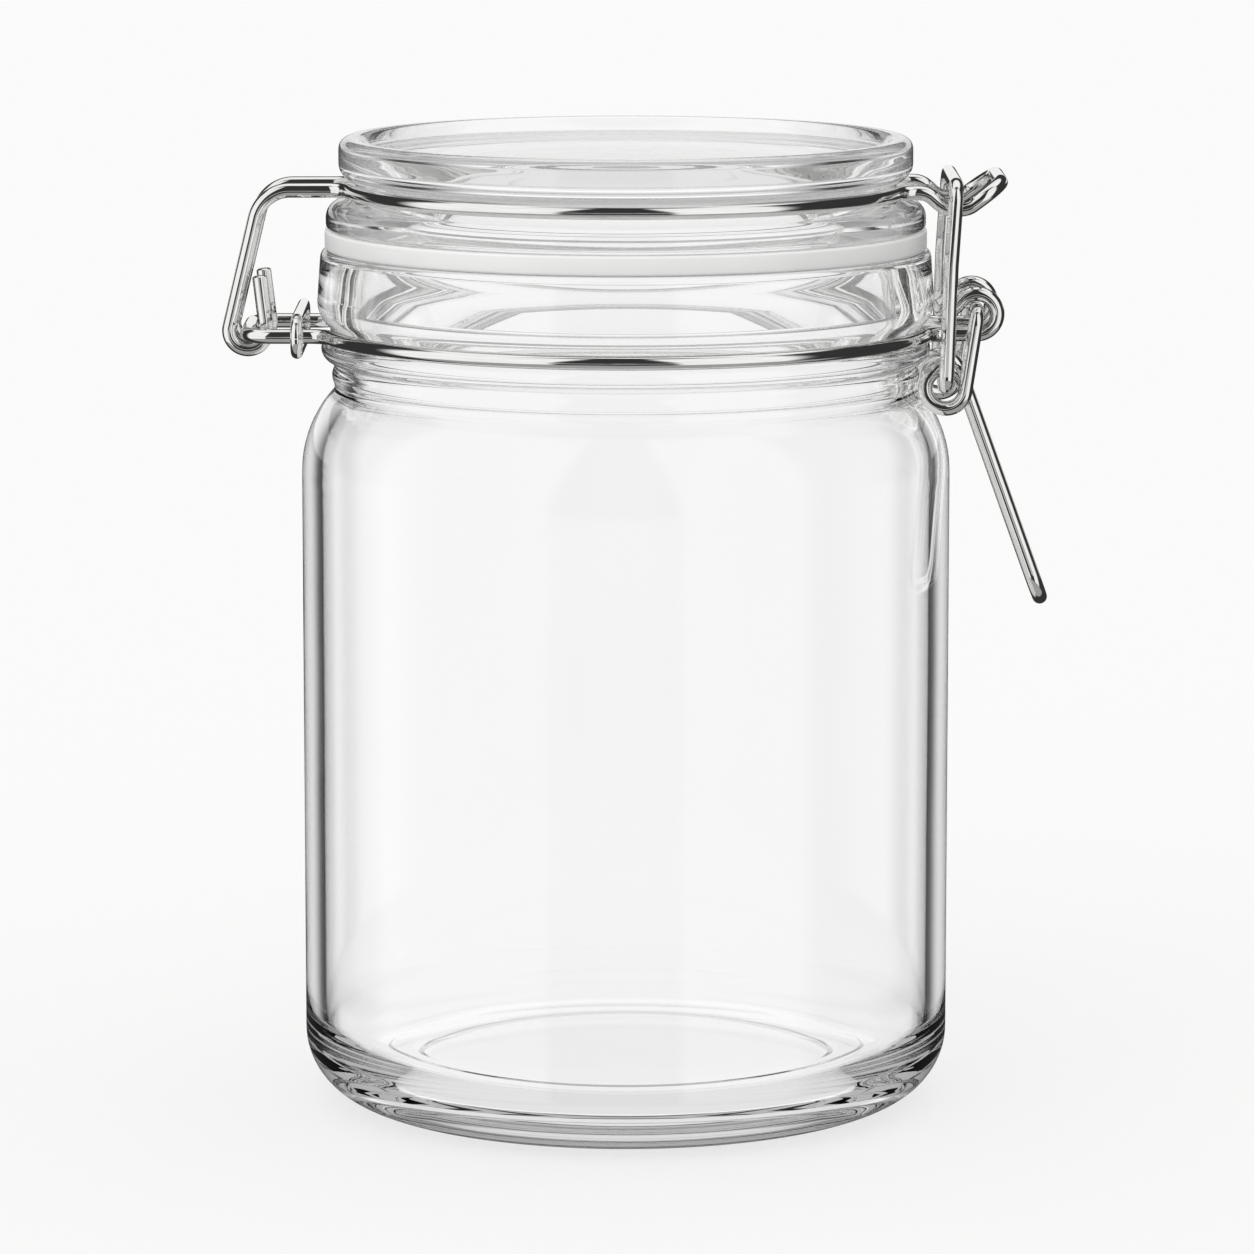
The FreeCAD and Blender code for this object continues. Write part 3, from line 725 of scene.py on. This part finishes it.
def ramp(value, low, high, full=1.0):
    """0 at low and full at high, with a soft change between."""
    node = node_of(studio, "ShaderNodeMapRange", interpolation_type="SMOOTHSTEP")
    for name, number in (("From Min", low), ("From Max", high), ("To Min", 0.0), ("To Max", full)):
        node.inputs[name].default_value = number
    studio_links.new(value, node.inputs["Value"])
    return node.outputs["Result"]


def both(one, other):
    return reckoned("MULTIPLY", one, other)


def without(chance):
    return reckoned("SUBTRACT", 1.0, chance)


def window(value, low, low_edge, high_edge, high):
    """1 between the two edges, and 0 below low and above high."""
    return both(ramp(value, low, low_edge), ramp(value, high, high_edge))


def choice(chance, no, yes):
    """No where chance is 0 and yes where it is 1."""
    return reckoned("ADD", both(without(chance), no), both(chance, yes))


# Levels of the studio's light for each kind of ray. INSIDE_WALL, INSIDE_WALL_LOW and INSIDE_MANY_TURNS are
# painted reflections and painted shade. Only rays that pass through glass after a reflection see them.
SWEEP = 0.97
SWEEP_THROUGH_GLASS = 0.95
SOFTBOX = 1.10
PAINTED_GLOW_BEHIND_GLASS = 1.25
FAR_HORIZON = 0.95
NEAR_FLOOR = 0.40
ROOM = 0.80
INSIDE_WALL = 0.80
INSIDE_WALL_LOW = 1.15
INSIDE_MANY_TURNS = 0.52
DARK = 0.04
GAP_TURN = math.radians(4)
bearing = reckoned("ARCTAN2", parts.outputs["Y"], parts.outputs["X"])
facing = reckoned("MULTIPLY", reckoned("SINE", reckoned("ADD", bearing, GAP_TURN)), -1.0)
toward = reckoned("MULTIPLY", parts.outputs["Y"], -1.0)
ahead = reckoned("SINE", bearing)
sideways = reckoned("COSINE", bearing)
rise = parts.outputs["Z"]
path = node_of(studio, "ShaderNodeLightPath").outputs

# Painted reflections and shade in the glass walls: dark diagonal windows, a brighter band just below the
# horizon, and the inside level elsewhere.
diagonal = both(window(ahead, 0.57, 0.79, 0.83, 0.955), window(rise, -0.60, -0.30, 0.80, 0.97))
beside = both(window(rise, -0.35, -0.25, -0.08, 0.00), ramp(ahead, -0.20, 0.35))
wall_glow = choice(diagonal, choice(beside, INSIDE_WALL, INSIDE_WALL_LOW), DARK)

# Painted reflections: only reflections that have not passed through glass see these. They show the softboxes,
# the dark gaps, the far horizon, the overhead box and the darker near floor.
gap_lean = ramp(rise, -0.50, 0.95, 0.05)
front_gap = ramp(reckoned("SUBTRACT", facing, gap_lean), 0.89, 0.93)
front_gap = both(front_gap, without(both(window(rise, -0.24, -0.19, -0.13, -0.08), 0.5)))
side_boxes = both(ramp(facing, -0.20, 0.05), window(rise, -0.60, -0.48, 0.80, 0.96))
side_boxes = both(side_boxes, both(without(front_gap), without(ramp(sideways, 0.88, 0.97))))
far_horizon = both(window(rise, 0.00, 0.02, 0.15, 0.18), ramp(toward, -0.55, -0.85))
overhead = both(ramp(rise, 0.70, 0.80), ramp(toward, 0.26, 0.14))
near_floor = both(ramp(rise, -0.52, -0.60), ramp(toward, -0.20, -0.05))
shine = choice(side_boxes, DARK, SOFTBOX)
shine = choice(far_horizon, shine, FAR_HORIZON)
shine = choice(overhead, shine, SOFTBOX)
shine = choice(near_floor, shine, NEAR_FLOOR)

turned_inside = reckoned("GREATER_THAN", path["Glossy Depth"], 0.5)
turned_often = reckoned("GREATER_THAN", path["Glossy Depth"], 3.5)
been_through = reckoned("GREATER_THAN", path["Transmission Depth"], 0.5)
scattered = reckoned("GREATER_THAN", path["Diffuse Depth"], 0.5)
# Painted reflections and shade in the glass: rays through glass after a reflection see the wall pattern, and
# after four or more turns a darker level.
glass_glow = choice(turned_often, wall_glow, INSIDE_MANY_TURNS)
glass_glow = choice(turned_inside, SWEEP_THROUGH_GLASS, glass_glow)
# Painted glow: reflections met after passing through glass see an even level, brighter than the softboxes,
# whatever their direction.
glow = choice(path["Is Glossy Ray"], ROOM, choice(been_through, shine, PAINTED_GLOW_BEHIND_GLASS))
glow = choice(path["Is Transmission Ray"], glow, glass_glow)
glow = choice(path["Is Camera Ray"], glow, SWEEP)
glow = choice(scattered, glow, ROOM)
studio_light = studio.node_tree.nodes["Background"]
studio_light.inputs["Color"].default_value = (1.0, 1.0, 0.997, 1.0)
studio_links.new(glow, studio_light.inputs["Strength"])
bpy.context.scene.cycles.max_bounces = 32
bpy.context.scene.cycles.glossy_bounces = 24
bpy.context.scene.cycles.transmission_bounces = 32

key = bpy.data.lights.new("key_softbox", "SUN")
key.energy = 1.1
key.angle = math.radians(50)
key_lamp = bpy.data.objects.new("key_softbox", key)
key_lamp.rotation_euler = (math.radians(38), math.radians(-24), 0)
key_lamp.visible_glossy = False
key_lamp.visible_transmission = False
bpy.context.collection.objects.link(key_lamp)


# Camera
# A long lens a little over a metre away. It stands above the lid and looks slightly down, as in the
# photograph.

camera = bpy.data.cameras.new("camera")
camera.sensor_width = 36.0
camera.lens = 187.2
camera_right, camera_away, camera_height = 0.0002, 1.100, 0.253
camera_tilt = math.radians(8.9)
camera_spot = bpy.data.objects.new("camera", camera)
camera_spot.location = (camera_right, -camera_away, camera_height)
camera_spot.rotation_euler = (math.pi / 2 - camera_tilt, 0, 0)
bpy.context.collection.objects.link(camera_spot)
bpy.context.scene.camera = camera_spot
bpy.context.scene.view_settings.view_transform = "Standard"
